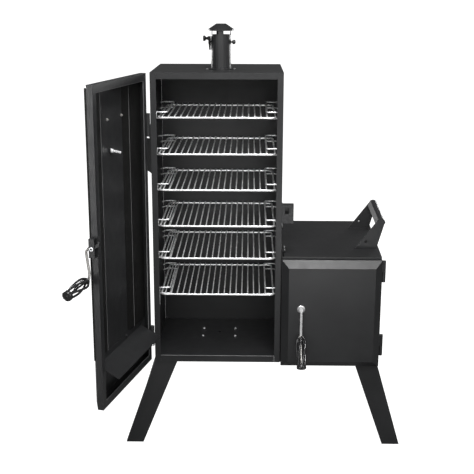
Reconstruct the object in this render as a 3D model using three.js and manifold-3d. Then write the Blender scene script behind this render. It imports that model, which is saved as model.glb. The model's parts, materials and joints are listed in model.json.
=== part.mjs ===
// Vertical smoker with an offset firebox. Millimetres, +Z up, the front faces -Y.
// The pieces are laid out from the cabinet's front left corner, with the floor at z = 0, and the whole
// group is then moved so that the middle of the front left foot is the origin.
// The main door is drawn closed, in a group of its own that turns about its hinge pins.
import * as THREE from "three";
import Module from "manifold-3d";
import { mergeVertices } from "three/addons/utils/BufferGeometryUtils.js";

// ---- driving dimensions ----
const T = 2; // sheet steel
const GAP = 0.3; // between pieces that touch
const LEG_H = 314;
const CAB = { w: 440, d: 394, h: 1011, flange: 20, topBand: 22, lip: 23 };
const TOP = LEG_H + CAB.h;
const FLOOR = LEG_H + CAB.lip; // upper face of the cabinet's floor
const DOOR = {
  x0: 0, x1: 438, z0: 327, z1: 1324, skirt: 19, bevel: 18, rise: 11.5, lip: 24,
  axisX: -9, axisY: -2.5, open: 104,
};
const BOX = {
  x0: 444, x1: 783, z0: 314, front: 700.5, slope: 0.078, mouth: [468, 760, 340, 670], ledgeZ: 420,
};
const FDOOR = {
  x0: 442.5, x1: 786, z0: 308.5, z1: 694.6, skirt: 13, bevel: 24, rise: 24, lip: 20, axisX: 793, axisY: -2.5,
};
const LID = {
  x0: 446, x1: 785, y0: -1.9, y1: 397, hingeX: 449.5, skirt: 7, knuckle: 5, hinges: [[40, 90], [300, 350]],
};
const RACK = {
  x0: 21.5, x1: 418.5, y0: 10, y1: 386, middle: 213, bars: 18, pitch: 20.45, frame: 6.6, bar: 4.4,
};
const RACK_Z = [1175.5, 1052.5, 930, 804.5, 690, 560];
const GUIDE = { wire: 4.6, y0: 44, y1: 352, reach: 55, post: 7, loop: 15, up: 15, down: -6 };
const PIPE = { x: 230, y: 163, r: 34.3, top: TOP + 115, baseR: 50, postTop: TOP + 133 };
const CAP = { r: 44.5, topR: 17, brim: 3, z0: TOP + 131, z1: TOP + 151 };
const DAMPER = { z: TOP + 90, disc: 28, shaft: 3 };
const THERMO = { x: 252, z: 1107, r: 38, depth: 15, stem: 28, sag: 4.6 };
const BADGE = { x: [156, 271], z: 1204.5, margin: 14, half: 17 };
const DRIP = { x0: 26, x1: 410, z: 460, drop: 36, reach: 41, screwX: 166 };
const LATCH = { x: 449, y: -13, z: 849 };
const KEEPER = { reach: 40, z0: 819, z1: 884, slot: [11, 24, 852, 875] };
const FLATCH = { x: 510, z: 526, arm: 89, r: 4.4 };
const GRIP = { r: 17, collar: 9, neck: 12 };
const LID_HANDLE = { x: 699, y0: 84, y1: 314, base: 76, stretch: 1, foot: 16 };
const SIDE_HANDLE = { z: 966, y0: 90, y1: 300, base: 121, stretch: 1.6, foot: 16 };
const SHUTTER = { y: 200, z: 385, r: 48, hole: 13, ring: 27, knobUp: 40 };
const GRATE = { x0: 450, x1: 777, y0: 34, y1: 360, z0: 421, z1: 427, rim: 8, bar: 6, pitch: 22.2 };
const PAN = { x0: 462, x1: 765, y0: 24, y1: 366, z0: 317, z1: 352 };
const PORT = [100, 300, 545, 625]; // smoke port between cabinet and firebox: y0, y1, z0, z1
const LEG = {
  left: [[-2, 78], [-111, -49]], right: [[703, 783], [813, 875]],
  y: 2.5, depth: 32, sheet: 3, rearIn: [14, 0],
};
const TRAY = { x0: 155, x1: 285, y0: 92, y1: 326, z0: 288, z1: 311, flange: 15, railHalf: 9, railZ: 290 };
const BOLTS = { x: [160, 280], y: [198, 278], r: 3.2, head: 4.6 };

const MATERIALS = { // colour, roughness, metalness
  paint: [0x1d1e20, 0.45, 0.35],
  chrome: [0xc9ccd0, 0.2, 1],
  wire: [0x0e0e0f, 0.4, 0.5],
  steel: [0xa7a9ac, 0.35, 1],
  dial: [0xe8e8e4, 0.6, 0],
  needle: [0xb02018, 0.5, 0],
  glass: [0xdfe8ea, 0.05, 0],
};

// ---- solids ----
const wasm = await Module();
wasm.setup();

const solid = (geometry) => {
  const bare = geometry.clone();
  bare.deleteAttribute("normal");
  bare.deleteAttribute("uv");
  const merged = mergeVertices(bare, 1e-4);
  return new wasm.Manifold(new wasm.Mesh({
    numProp: 3,
    vertProperties: new Float32Array(merged.attributes.position.array),
    triVerts: new Uint32Array(merged.index.array),
  }));
};
const join = (...parts) => parts.reduce((a, b) => a.add(b));
const cut = (body, ...tools) => tools.reduce((a, b) => a.subtract(b), body);

// A solid with six flat sides, from two quads whose corners run the same way round.
const hexa = (a, b) => {
  const p = [...a, ...b].map((v) => new THREE.Vector3(...v));
  const faces = [[3, 2, 1, 0], [4, 5, 6, 7], [0, 1, 5, 4], [1, 2, 6, 5], [2, 3, 7, 6], [3, 0, 4, 7]];
  let points = faces.flatMap(([i, j, k, l]) => [p[i], p[j], p[k], p[i], p[k], p[l]]);
  const centre = p.reduce((s, v) => s.add(v), new THREE.Vector3()).divideScalar(p.length);
  const normal = points[1].clone().sub(points[0]).cross(points[2].clone().sub(points[0]));
  if (normal.dot(points[0].clone().sub(centre)) < 0) {
    points = points.flatMap((v, i) => (i % 3 ? [] : [points[i], points[i + 2], points[i + 1]]));
  }
  return solid(new THREE.BufferGeometry().setFromPoints(points).setIndex([...points.keys()]));
};
const box = (x0, x1, y0, y1, z0, z1) => {
  const g = new THREE.BoxGeometry(x1 - x0, y1 - y0, z1 - z0);
  return solid(g.translate((x0 + x1) / 2, (y0 + y1) / 2, (z0 + z1) / 2));
};
// Turns a geometry made along +Y the way that a line runs.
const aim = (g, from, to) => {
  const dir = new THREE.Vector3(...to).sub(new THREE.Vector3(...from)).normalize();
  return g.applyQuaternion(new THREE.Quaternion().setFromUnitVectors(new THREE.Vector3(0, 1, 0), dir));
};
const rod = (from, to, r, sides = 12) => {
  const length = Math.hypot(to[0] - from[0], to[1] - from[1], to[2] - from[2]);
  const g = new THREE.CylinderGeometry(r, r, length, sides).translate(0, length / 2, 0);
  return solid(aim(g, from, to).translate(...from));
};
// A body turned about a line: rows of [distance along, radius].
const turned = (from, to, rows, sides = 12) => {
  const profile = [[rows[0][0], 0], ...rows, [rows.at(-1)[0], 0]].map(([d, r]) => new THREE.Vector2(r, d));
  return solid(aim(new THREE.LatheGeometry(profile, sides), from, to).translate(...from));
};
// A flat outline of [x, z] points, given thickness along Y.
const plateXZ = (outline, y0, y1) => {
  const shape = new THREE.Shape(outline.map(([x, z]) => new THREE.Vector2(x, z)));
  const g = new THREE.ExtrudeGeometry(shape, { depth: y1 - y0, bevelEnabled: false });
  return solid(g.rotateX(Math.PI / 2).translate(0, y1, 0));
};

// ---- the scene graph ----
const smoker = new THREE.Group();
const footMiddle = (LEG.left[1][0] + LEG.left[1][1]) / 2;
smoker.position.set(-footMiddle, -(LEG.y + LEG.depth / 2), 0);
const door = new THREE.Group();
door.position.set(DOOR.axisX, DOOR.axisY, 0);
door.rotation.z = THREE.MathUtils.degToRad(-DOOR.open);
smoker.add(door);

const add = (name, manifold, look, parent = smoker) => {
  const made = manifold.getMesh();
  const g = new THREE.BufferGeometry();
  g.setAttribute("position", new THREE.BufferAttribute(new Float32Array(made.vertProperties), 3));
  g.setIndex([...made.triVerts]);
  const flat = g.toNonIndexed();
  flat.computeVertexNormals();
  const [color, roughness, metalness] = MATERIALS[look];
  const mesh = new THREE.Mesh(flat, new THREE.MeshStandardMaterial({ color, roughness, metalness }));
  mesh.name = name;
  if (parent === door) mesh.position.set(-DOOR.axisX, -DOOR.axisY, 0);
  parent.add(mesh);
};

// ---- cabinet: five folded sheets ----
const { w: W, d: D, flange: F } = CAB;
const WALL_TOP = TOP - T - GAP;
add("cabinet_left", join(box(0, T, 0, D, LEG_H, WALL_TOP), box(0, F, 0, T, LEG_H, WALL_TOP)), "paint");
add("cabinet_right", cut(
  join(box(W - T, W, 0, D, LEG_H, WALL_TOP), box(W - F, W, 0, T, LEG_H, WALL_TOP)),
  box(W - 2 * T, W + 1, ...PORT)), "paint");
add("cabinet_back", box(T + GAP, W - T - GAP, D - T, D, LEG_H, WALL_TOP), "paint");
const upright = (z0, z1, r) => rod([PIPE.x, PIPE.y, z0], [PIPE.x, PIPE.y, z1], r, 24);
add("cabinet_top", cut(
  join(box(0, W, 0, D, TOP - T, TOP), box(F + GAP, W - F - GAP, 0, T, TOP - CAB.topBand, TOP)),
  upright(TOP - 10, TOP + 1, PIPE.r - T)), "paint");
const boltPlaces = BOLTS.x.flatMap((x) => BOLTS.y.map((y) => [x, y]));
const floorHole = (x, y, r, sides) => rod([x, y, FLOOR - 5], [x, y, FLOOR + 1], r, sides);
add("cabinet_floor", cut(
  join(box(T + GAP, W - T - GAP, T + GAP, D - T - GAP, FLOOR - T, FLOOR),
    box(F + GAP, W - F - GAP, 0, T + 1, LEG_H, FLOOR)),
  ...boltPlaces.map(([x, y]) => floorHole(x, y, BOLTS.r + GAP, 8)),
  floorHole(W / 2, 245, 6, 12)), "paint");

// ---- wire guides on both side walls, and the racks that slide in them ----
const guide = (mirrored) => {
  const bar = (a, b, ...rest) => (mirrored ? box(W - b, W - a, ...rest) : box(a, b, ...rest));
  const { wire, y0, y1, reach, post, loop, up, down } = GUIDE, h = wire / 2;
  const low = RACK_Z.at(-1) - 2 * up, high = RACK_Z[0] + up + 5;
  const parts = [y0, y1].map((y) => bar(post - h, post + h, y - h, y + h, low, high));
  for (const z of RACK_Z) {
    for (const c of [z + up, z + down]) {
      parts.push(bar(reach - wire, reach, y0 - h, y1 + h, c - h, c + h));
      for (const y of [y0, y1]) parts.push(bar(post - h, reach, y - h, y + h, c - h, c + h));
    }
    parts.push(bar(loop - h, loop + h, y0 - h, y0 + h, z + down, z + up));
  }
  for (const y of [y0, y1]) { // feet that stand the uprights off the wall
    for (const z of [low + 40, (low + high) / 2 + 28, high - 30]) {
      parts.push(bar(T + GAP, post, y - h, y + h, z - 3, z + 3));
    }
  }
  return join(...parts);
};
add("rack_guide_left", guide(false), "chrome");
add("rack_guide_right", guide(true), "chrome");

const rack = (z) => {
  const { x0, x1, y0, y1, middle, bars, pitch, frame, bar } = RACK, h = frame / 2, sink = 0.8;
  const parts = [box(x0, x1, y0, y0 + frame, z - h, z + h), box(x0, x1, y1 - frame, y1, z - h, z + h),
    box(x0, x0 + frame, y0, y1, z - h, z + h), box(x1 - frame, x1, y0, y1, z - h, z + h)];
  for (let i = 0; i < bars; i++) {
    const x = middle + (i - (bars - 1) / 2) * pitch;
    parts.push(box(x - bar / 2, x + bar / 2, y0 + 1, y1 - 1, z + h - sink, z + h + bar - sink));
  }
  return join(...parts);
};
RACK_Z.forEach((z, i) => add(`rack_${i + 1}`, rack(z), "chrome"));

// ---- chimney: pipe with a base flange and four straps that carry the cap ----
const strap = (degrees, half) => {
  const a = THREE.MathUtils.degToRad(degrees), c = Math.cos(a), s = Math.sin(a);
  const corner = ([u, v], z) => [PIPE.x + c * u - s * v, PIPE.y + s * u + c * v, z];
  const outline = [[PIPE.r - 13, -half], [PIPE.r + 7, -half], [PIPE.r + 7, half], [PIPE.r - 13, half]];
  return hexa(outline.map((p) => corner(p, PIPE.top)), outline.map((p) => corner(p, PIPE.postTop + 1)));
};
const straps = [strap(-90, 9), strap(-165, 5), strap(15, 5), strap(115, 3.5)];
const damperAxis = (x0, x1, r, sides = 12) => rod([x0, PIPE.y, DAMPER.z], [x1, PIPE.y, DAMPER.z], r, sides);
const pipe = join(upright(TOP + GAP, PIPE.postTop, PIPE.r), upright(TOP + GAP, TOP + 3, PIPE.baseR));
add("chimney_pipe", cut(pipe,
  upright(TOP - 1, PIPE.postTop + 1, PIPE.r - T),
  cut(upright(PIPE.top, PIPE.postTop + 2, PIPE.r + 1), ...straps),
  damperAxis(PIPE.x - 50, PIPE.x + 50, DAMPER.shaft + GAP)), "paint");
const onPipe = (rows) => turned([PIPE.x, PIPE.y, 0], [PIPE.x, PIPE.y, 1], rows, 24);
add("chimney_cap", cut(
  onPipe([[CAP.z0 - CAP.brim, CAP.r - 0.5], [CAP.z0 + 1.5, CAP.r], [CAP.z1, CAP.topR]]),
  onPipe([[CAP.z0 - CAP.brim - 1, CAP.r - 2.5], [CAP.z0 + 1, CAP.r - 3.5], [PIPE.postTop + GAP, CAP.r - 7],
    [CAP.z1 - T, CAP.topR]])), "paint");

// ---- chimney damper: disc, shaft and end nut turn with the lever and its spool knob ----
const pipeLeft = PIPE.x - PIPE.r, pipeRight = PIPE.x + PIPE.r;
add("damper_plate", join(
  damperAxis(pipeLeft - 8, pipeRight + 8, DAMPER.shaft, 8),
  rod([PIPE.x, PIPE.y - 1, DAMPER.z], [PIPE.x, PIPE.y + 1, DAMPER.z], DAMPER.disc, 20),
  turned([pipeRight + 3, PIPE.y, DAMPER.z], [pipeRight + 60, PIPE.y, DAMPER.z],
    [[0, 4], [4, 7.5], [9, 7.5], [12, 4]], 10)), "paint");
const leverRight = pipeLeft - 1.5;
const leverQuad = (half, z, thick) => [[leverRight - thick, PIPE.y - half, z], [leverRight, PIPE.y - half, z],
  [leverRight, PIPE.y + half, z], [leverRight - thick, PIPE.y + half, z]];
const spoolZ = DAMPER.z + 12;
add("damper_lever", cut(
  join(hexa(leverQuad(5, DAMPER.z - 26, 5), leverQuad(7, DAMPER.z + 19, 9)),
    turned([pipeLeft - 5, PIPE.y, spoolZ], [pipeLeft - 50, PIPE.y, spoolZ],
      [[0, 6.5], [5, 6.5], [8, 4.5], [12, 4.5], [15, 9], [19, 9.5], [22, 8]])),
  damperAxis(pipeLeft - 12, pipeLeft, DAMPER.shaft + 0.05, 8)), "paint");

// ---- a folded pan with a bevelled face and a return lip, for both doors ----
const SEAT = -2; // the lips stand this far in front of the cabinet
const pan = ({ x0, x1, z0, z1, skirt, bevel, rise, lip }) => {
  const quad = (e, y) => [[x0 + e, y, z0 + e], [x1 - e, y, z0 + e], [x1 - e, y, z1 - e], [x0 + e, y, z1 - e]];
  const bend = SEAT - skirt, face = bend - rise, k = T * Math.tan(Math.atan2(bevel, rise) / 2);
  const inset = bevel + T * Math.tan(Math.atan2(rise, bevel) / 2);
  const outer = join(hexa(quad(0, SEAT), quad(0, bend)), hexa(quad(0, bend), quad(bevel, face)));
  const inner = join(hexa(quad(T, SEAT - T), quad(T, bend + k)),
    hexa(quad(T, bend + k), quad(inset, face + T)));
  return cut(outer, inner, hexa(quad(lip, SEAT + 1), quad(lip, SEAT - T - 1)));
};

// ---- main door and what is bolted to it ----
const FACE = SEAT - DOOR.skirt - DOOR.rise; // outer face
const INSIDE = FACE + T + GAP; // where pieces on the inner face begin
const through = (x, z, r) => rod([x, FACE - 1, z], [x, FACE + T + 1, z], r);
add("door_shell", cut(pan(DOOR), through(THERMO.x, THERMO.z, 7),
  ...BADGE.x.map((x) => through(x, BADGE.z, 2.8))), "paint", door);
const dripEdge = (y, z) => [[DRIP.x0, y, z], [DRIP.x1, y, z], [DRIP.x1, y, z + T], [DRIP.x0, y, z + T]];
const screwZ = DRIP.z + 13;
add("door_drip_plate", join(
  box(DRIP.x0, DRIP.x1, INSIDE, INSIDE + 1.5, DRIP.z, DRIP.z + 20),
  hexa(dripEdge(INSIDE, DRIP.z), dripEdge(DRIP.reach, DRIP.z - DRIP.drop)),
  turned([DRIP.screwX, INSIDE + 1, screwZ], [DRIP.screwX, 0, screwZ], [[0, 4.5], [3.5, 4.5], [5, 2]], 8)),
"paint", door);
add("door_badge", join(
  box(BADGE.x[0] - BADGE.margin, BADGE.x[1] + BADGE.margin, FACE - GAP - T, FACE - GAP,
    BADGE.z - BADGE.half, BADGE.z + BADGE.half),
  ...BADGE.x.flatMap((x) => [rod([x, FACE - 1, BADGE.z], [x, INSIDE + 6, BADGE.z], 2.5, 8),
    rod([x, INSIDE, BADGE.z], [x, INSIDE + 2.5, BADGE.z], 5, 6)])), "steel", door);

// ---- door thermometer: distances are in front of the door's outer face ----
const gauge = (a, b, r, sides = 24) =>
  rod([THERMO.x, FACE - b, THERMO.z], [THERMO.x, FACE - a, THERMO.z], r, sides);
add("thermometer_case", cut(
  join(turned([THERMO.x, FACE - GAP, THERMO.z], [THERMO.x, FACE - 100, THERMO.z],
    [[0, THERMO.r - 8], [3, THERMO.r], [THERMO.depth - 2, THERMO.r], [THERMO.depth, THERMO.r - 2]], 24),
  gauge(-12, 1, 6.8, 12),
  turned([THERMO.x, INSIDE + 8, THERMO.z], [THERMO.x, INSIDE + 8 + THERMO.stem, THERMO.z - THERMO.sag],
    [[0, 4], [THERMO.stem - 2, 4], [THERMO.stem, 2.6]], 10)),
  gauge(8, 20, THERMO.r - 4)), "chrome", door);
add("thermometer_dial", gauge(8.3, 9.6, THERMO.r - 4.4), "dial", door);
const needleQuad = (half, z) => [[THERMO.x - half, FACE - 11.6, z], [THERMO.x + half, FACE - 11.6, z],
  [THERMO.x + half, FACE - 10.4, z], [THERMO.x - half, FACE - 10.4, z]];
add("thermometer_needle", join(gauge(9.9, 12, 3.4, 10),
  hexa(needleQuad(2.2, THERMO.z - 8), needleQuad(0.5, THERMO.z + 26))), "needle", door);
add("thermometer_lens", gauge(12.8, 14.4, THERMO.r - 4.4), "glass", door);
add("thermometer_nut", cut(gauge(-7, -T - GAP, 12, 6), gauge(-12, 0, 7.2, 12)), "steel", door);

// ---- open wire grip, drawn as the solid that its wires wrap ----
const grip = (from, to, length) => turned(from, to, [[0, GRIP.collar], [5, GRIP.collar], [14, GRIP.neck],
  [length * 0.45, GRIP.r], [length * 0.72, GRIP.r - 2], [length - 14, GRIP.neck + 1],
  [length - 12, GRIP.r - 0.5], [length - 4, GRIP.r - 0.5], [length, GRIP.r - 5]]);

// ---- main door latch: bracket on the free edge, bent rod with a hook, grip; keeper on the cabinet ----
const edge = DOOR.x1 + GAP, { x: hx, y: hy, z: hz } = LATCH, pinEnd = hx + 15;
const latchPin = (x0, x1, r, sides = 16) => rod([x0, hy, hz], [x1, hy, hz], r, sides);
add("latch_bracket", join(
  box(hx + 9, hx + 11, hy - 9, hy + 9, hz - 28, hz + 30),
  box(edge, hx + 11, hy - 9, hy + 9, hz + 28, hz + 30),
  box(edge, hx + 11, hy - 9, hy + 9, hz - 28, hz - 26),
  box(edge, edge + T, hy - 2, hy + 9, hz - 28, hz + 30),
  latchPin(edge + 0.5, pinEnd, 3.5), latchPin(hx + 10, pinEnd - 0.5, 6.5, 6)), "paint", door);
const rodTop = [hx, hy - 22, hz - 12], rodLow = [hx, -27, 771], rodBend = [hx + 1, -29, 751.5];
const rodEnd = [hx + 14, -31.5, 749.6], gripStart = [hx + 8, -30.2, 750.6], gripEnd = [hx + 112, -52, 731];
const hookQuad = (y, z, h) => [[hx + 3, y, z], [hx + 8, y, z], [hx + 8, y, z + h], [hx + 3, y, z + h]];
add("door_handle_rod", cut(join(
  latchPin(edge + T + 0.7, hx + 8.4, 7),
  rod([hx, hy - 4, hz], rodTop, 4, 10), rod(rodTop, rodLow, 4, 10), rod(rodLow, rodBend, 4, 10),
  rod([hx, rodTop[1], rodTop[2] + 2.6], [hx, rodTop[1], rodTop[2] - 2.6], 4, 10),
  rod(rodBend, rodEnd, 4, 10),
  hexa(hookQuad(hy + 2, hz - 3, 9), hookQuad(hy + 24, hz + 9, 8)),
  box(hx + 3, hx + 8, hy + 19, hy + 24, hz + 9, hz + 24)),
latchPin(edge, hx + 9, 3.6)), "chrome", door);
add("door_handle_grip", cut(grip(gripStart, gripEnd, 108),
  rod([hx - 2, -28.5, 751.9], [hx + 15, -31.7, 749.4], 4.6, 10)), "wire", door);
const [slot0, slot1, slotLow, slotHigh] = KEEPER.slot, keeperEdge = W + KEEPER.reach;
add("latch_keeper", cut(join(
  box(W + GAP, keeperEdge, 1, 3, KEEPER.z0, KEEPER.z1),
  box(W + GAP, W + GAP + T, 1, 40, KEEPER.z0, KEEPER.z1),
  box(W + GAP, keeperEdge, 1, 26, KEEPER.z1 - T, KEEPER.z1),
  box(W + GAP, keeperEdge, 24, 26, KEEPER.z0, KEEPER.z1)),
box(W + slot0, W + slot1, 0, 4, slotLow, slotHigh)), "paint");

// ---- door hinges: the lower leaf holds the pin and is fixed, the upper leaf moves ----
const hinge = (name, { axisX, axisY }, z, length, radius, fixedLeaf, movingLeaf, parent) => {
  const middle = z + length / 2;
  const onAxis = (z0, z1, r) => rod([axisX, axisY, z0], [axisX, axisY, z1], r, 16);
  add(`${name}_fixed`, join(onAxis(z, middle, radius), onAxis(z, z + length - 2, 3.5),
    box(...fixedLeaf, z, middle)), "paint");
  add(`${name}_moving`, cut(
    join(onAxis(middle + GAP, z + length, radius), box(...movingLeaf, middle + GAP, z + length)),
    onAxis(z, z + length - 1.5, 3.6)), "paint", parent);
};
for (const [end, z, length] of [["upper", 1114.5, 77], ["lower", 381, 67]]) {
  hinge(`door_hinge_${end}`, DOOR, z, length, 8.3, [-2.8, -GAP, -2.5, 44], [-2.8, -GAP, -14, -2.5], door);
}
for (const [end, z] of [["upper", 614.5], ["lower", 346]]) {
  const fixedLeaf = [BOX.x1 + GAP, BOX.x1 + 5, 0.5, 40];
  const movingLeaf = [FDOOR.x1 + GAP, FDOOR.x1 + 2.6, -14, -2.5];
  hinge(`firebox_hinge_${end}`, FDOOR, z, 76, 6.6, fixedLeaf, movingLeaf, smoker);
}

// ---- firebox: four walls, a floor, and a lid that slopes down to the front ----
const { x0: bx0, x1: bx1, z0: bz0 } = BOX, inner0 = bx0 + T + GAP, inner1 = bx1 - T - GAP;
const wallTop = (y) => BOX.front + BOX.slope * y;
const sideWall = (x0, x1) => hexa([[x0, 0, bz0], [x1, 0, bz0], [x1, D, bz0], [x0, D, bz0]],
  [[x0, 0, wallTop(0)], [x1, 0, wallTop(0)], [x1, D, wallTop(D)], [x0, D, wallTop(D)]]);
const ledge = (x0, x1) => box(x0, x1, 30, D - 30, BOX.ledgeZ - T, BOX.ledgeZ);
const shutterHoles = [30, 150, 270].map((degrees) => {
  const a = THREE.MathUtils.degToRad(degrees);
  const y = SHUTTER.y + SHUTTER.ring * Math.cos(a), z = SHUTTER.z + SHUTTER.ring * Math.sin(a);
  return rod([bx1 - 5, y, z], [bx1 + 5, y, z], SHUTTER.hole);
});
const onShutter = (x0, x1, r, sides = 8) =>
  rod([x0, SHUTTER.y, SHUTTER.z], [x1, SHUTTER.y, SHUTTER.z], r, sides);
add("firebox_left", cut(join(sideWall(bx0, bx0 + T), ledge(bx0, bx0 + 16)),
  box(bx0 - 1, bx0 + 5, ...PORT)), "paint");
add("firebox_right", cut(join(sideWall(bx1 - T, bx1), ledge(bx1 - 16, bx1)), ...shutterHoles,
  onShutter(bx1 - 5, bx1 + 5, 3.3)), "paint");
add("firebox_back", box(inner0, inner1, D - T, D, bz0, wallTop(D - T) - 1), "paint");
add("firebox_floor", box(inner0, inner1, T + GAP, D - T - GAP, bz0, bz0 + T), "paint");
const [mouth0, mouth1, mouthLow, mouthHigh] = BOX.mouth;
add("firebox_front", cut(box(inner0, inner1, 0, T, bz0, wallTop(0) - 1),
  box(mouth0, mouth1, -1, T + 1, mouthLow, mouthHigh)), "paint");

const lidZ = (y) => wallTop(y) + GAP; // underside of the lid
const slab = (x0, x1, y0, y1, low, high) => hexa(
  [[x0, y0, lidZ(y0) + low], [x1, y0, lidZ(y0) + low], [x1, y1, lidZ(y1) + low], [x0, y1, lidZ(y1) + low]],
  [[x0, y0, lidZ(y0) + high], [x1, y0, lidZ(y0) + high],
    [x1, y1, lidZ(y1) + high], [x0, y1, lidZ(y1) + high]]);
const lidAxis = (y) => [LID.hingeX, y, lidZ(y) + T + 3.2];
const lidPin = (y0, y1, r) => rod(lidAxis(y0), lidAxis(y1), r);
const lidNotch = (y0, y1) => slab(LID.x0 - 1, LID.hingeX + 6.5, y0, y1, -1, 12);
const fixedKnuckle = 15;
add("firebox_lid", cut(
  join(slab(LID.hingeX, LID.x1, LID.y0, LID.y1, 0, T),
    slab(LID.x0, LID.x1, LID.hinges[0][1] + 2, LID.hinges[1][0] - 2, 0, T),
    slab(LID.x0, LID.x1, LID.y0, LID.y0 + 1.5, 1.2 - LID.skirt, T),
    slab(LID.x0, LID.x1, LID.y1 - T, LID.y1, -LID.skirt, T),
    slab(LID.x1 - 1.4, LID.x1, 0, LID.y1, -LID.skirt, T),
    ...LID.hinges.map(([a, b]) => lidPin(a + 16, b - 16, LID.knuckle))),
  ...LID.hinges.flatMap(([a, b]) =>
    [lidPin(a - 5, b + 5, 2.6), lidNotch(a - 1, a + 15.7), lidNotch(b - 15.7, b + 1)])), "paint");
LID.hinges.forEach(([a, b], i) => add(`lid_hinge_${i ? "rear" : "front"}`, join(
  lidPin(a, a + fixedKnuckle, LID.knuckle), lidPin(b - fixedKnuckle, b, LID.knuckle), lidPin(a, b, 2.5),
  box(W + GAP, W + GAP + T, a, b, lidZ(a) + 10, lidZ(b) + 34),
  slab(W + GAP, LID.hingeX, a, a + fixedKnuckle, 7.6, 10.2),
  slab(W + GAP, LID.hingeX, b - fixedKnuckle, b, 7.6, 10.2)), "paint"));

// ---- folded plate handles: two leaning cheeks joined by a folded strip ----
// Outlines run [along the base, away from the base]; the cheeks lean along the base.
const handleStrip = [[70, 90], [79.5, 107], [88, 109.5], [96, 108.6], [101.8, 104], [105, 97], [104, 91],
  [102, 91.6], [102.9, 96.4], [100.3, 102.4], [95.2, 106.4], [88.2, 107.4], [80.9, 105.6], [71.8, 89.2]];
const plateHandle = ({ y0, y1, base, stretch }, place) => {
  const cheek = [[0, 0], [base, 0], [base + 3, 9],
    [102, 90], [103, 96], [100, 103], [95, 107], [88, 108], [80, 106]];
  const hole = new THREE.Path().absarc(39 * stretch, 26, 3.6, 0, 2 * Math.PI).getPoints(8).slice(1);
  const holeOutline = hole.map((p) => place([p.x, p.y]));
  const holed = (y) => cut(plateXZ(cheek.map(place), y, y + T), plateXZ(holeOutline, y - 1, y + T + 1));
  return join(holed(y0), holed(y1 - T), plateXZ(handleStrip.map(place), y0, y1));
};
const lidFoot = (y) =>
  slab(LID_HANDLE.x, LID_HANDLE.x + LID_HANDLE.base, y, y + LID_HANDLE.foot, T + GAP, 2 * T + GAP);
const alongLid = (v) => { v[2] += BOX.slope * (v[1] - LID_HANDLE.y0); };
const lidBase = lidZ(LID_HANDLE.y0) + 1;
add("lid_handle", join(
  cut(plateHandle(LID_HANDLE, ([u, v]) => [LID_HANDLE.x + u, lidBase + v]).warp(alongLid),
    slab(LID_HANDLE.x - 10, LID_HANDLE.x + 110, 60, 340, -30, T + GAP + 0.5)),
  lidFoot(LID_HANDLE.y0), lidFoot(LID_HANDLE.y1 - LID_HANDLE.foot)), "paint");
const sideFoot = (y) =>
  box(-GAP - T, -GAP, y, y + SIDE_HANDLE.foot, SIDE_HANDLE.z, SIDE_HANDLE.z + SIDE_HANDLE.base);
add("side_handle", join(
  plateHandle(SIDE_HANDLE, ([u, v]) => [-GAP - v, SIDE_HANDLE.z + u]),
  sideFoot(SIDE_HANDLE.y0), sideFoot(SIDE_HANDLE.y1 - SIDE_HANDLE.foot)), "paint");

// ---- firebox door with its turning handle ----
const fFace = SEAT - FDOOR.skirt - FDOOR.rise, armY = fFace - 14, { x: px, z: pz } = FLATCH;
const armLow = [px, armY, pz - FLATCH.arm], armHeel = [px, armY, armLow[2] + 0.1];
add("firebox_door", cut(pan(FDOOR), rod([px, fFace - 1, pz], [px, fFace + T + 1, pz], 6.4)), "paint");
const tongue = (half, z) => [[px - half, 4, z], [px + half, 4, z], [px + half, 8, z], [px - half, 8, z]];
add("firebox_handle_rod", join(
  rod([px, armY, pz], [px, 8, pz], 6),
  turned([px, fFace - GAP, pz], [px, armY - 20, pz],
    [[0, 13.5], [3, 13.5], [6, 10.5], [11, 9.5], [18, 6.5]], 16),
  rod([px, armY, pz], armLow, FLATCH.r), rod(armHeel, [px, armY - 9, armLow[2] - 12], FLATCH.r),
  hexa(tongue(7, pz - 8), tongue(5, pz + 46))), "chrome");
add("firebox_handle_grip", cut(
  grip([px, armY - 2, armLow[2] - 3], [px, armY - 66, armLow[2] - 87], 117),
  rod([px, armY, armLow[2] + 8], armLow, FLATCH.r + 0.3),
  rod(armHeel, [px, armY - 9.3, armLow[2] - 12.4], FLATCH.r + 0.35)), "wire");

// ---- charcoal grate, ash pan and air shutter ----
const grateBar = (x0, x1, y0, y1, sink = 0) => box(x0, x1, y0, y1, GRATE.z0 + sink, GRATE.z1);
const grate = [
  grateBar(GRATE.x0, GRATE.x1, GRATE.y0, GRATE.y0 + GRATE.rim),
  grateBar(GRATE.x0, GRATE.x1, GRATE.y1 - GRATE.rim, GRATE.y1),
  grateBar(GRATE.x0, GRATE.x0 + GRATE.rim, GRATE.y0, GRATE.y1),
  grateBar(GRATE.x1 - GRATE.rim, GRATE.x1, GRATE.y0, GRATE.y1)];
for (let x = GRATE.x0 + 30; x < GRATE.x1 - 12; x += GRATE.pitch) {
  grate.push(grateBar(x, x + GRATE.bar, GRATE.y0, GRATE.y1, 0.5));
}
add("charcoal_grate", join(...grate), "steel");
add("ash_pan", cut(box(PAN.x0, PAN.x1, PAN.y0, PAN.y1, PAN.z0, PAN.z1),
  box(PAN.x0 + T, PAN.x1 - T, PAN.y0 + T, PAN.y1 - T, PAN.z0 + T, PAN.z1 + 1)), "steel");
const knobZ = SHUTTER.z + SHUTTER.knobUp;
add("air_shutter", cut(join(
  onShutter(bx1 + GAP, bx1 + GAP + 1.6, SHUTTER.r, 24), onShutter(bx1 - 6, bx1 + 5, 3),
  turned([bx1 + 1, SHUTTER.y, knobZ], [bx1 + 60, SHUTTER.y, knobZ],
    [[0, 4], [10, 4], [14, 9], [20, 9], [23, 6]])), ...shutterHoles), "paint");

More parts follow.
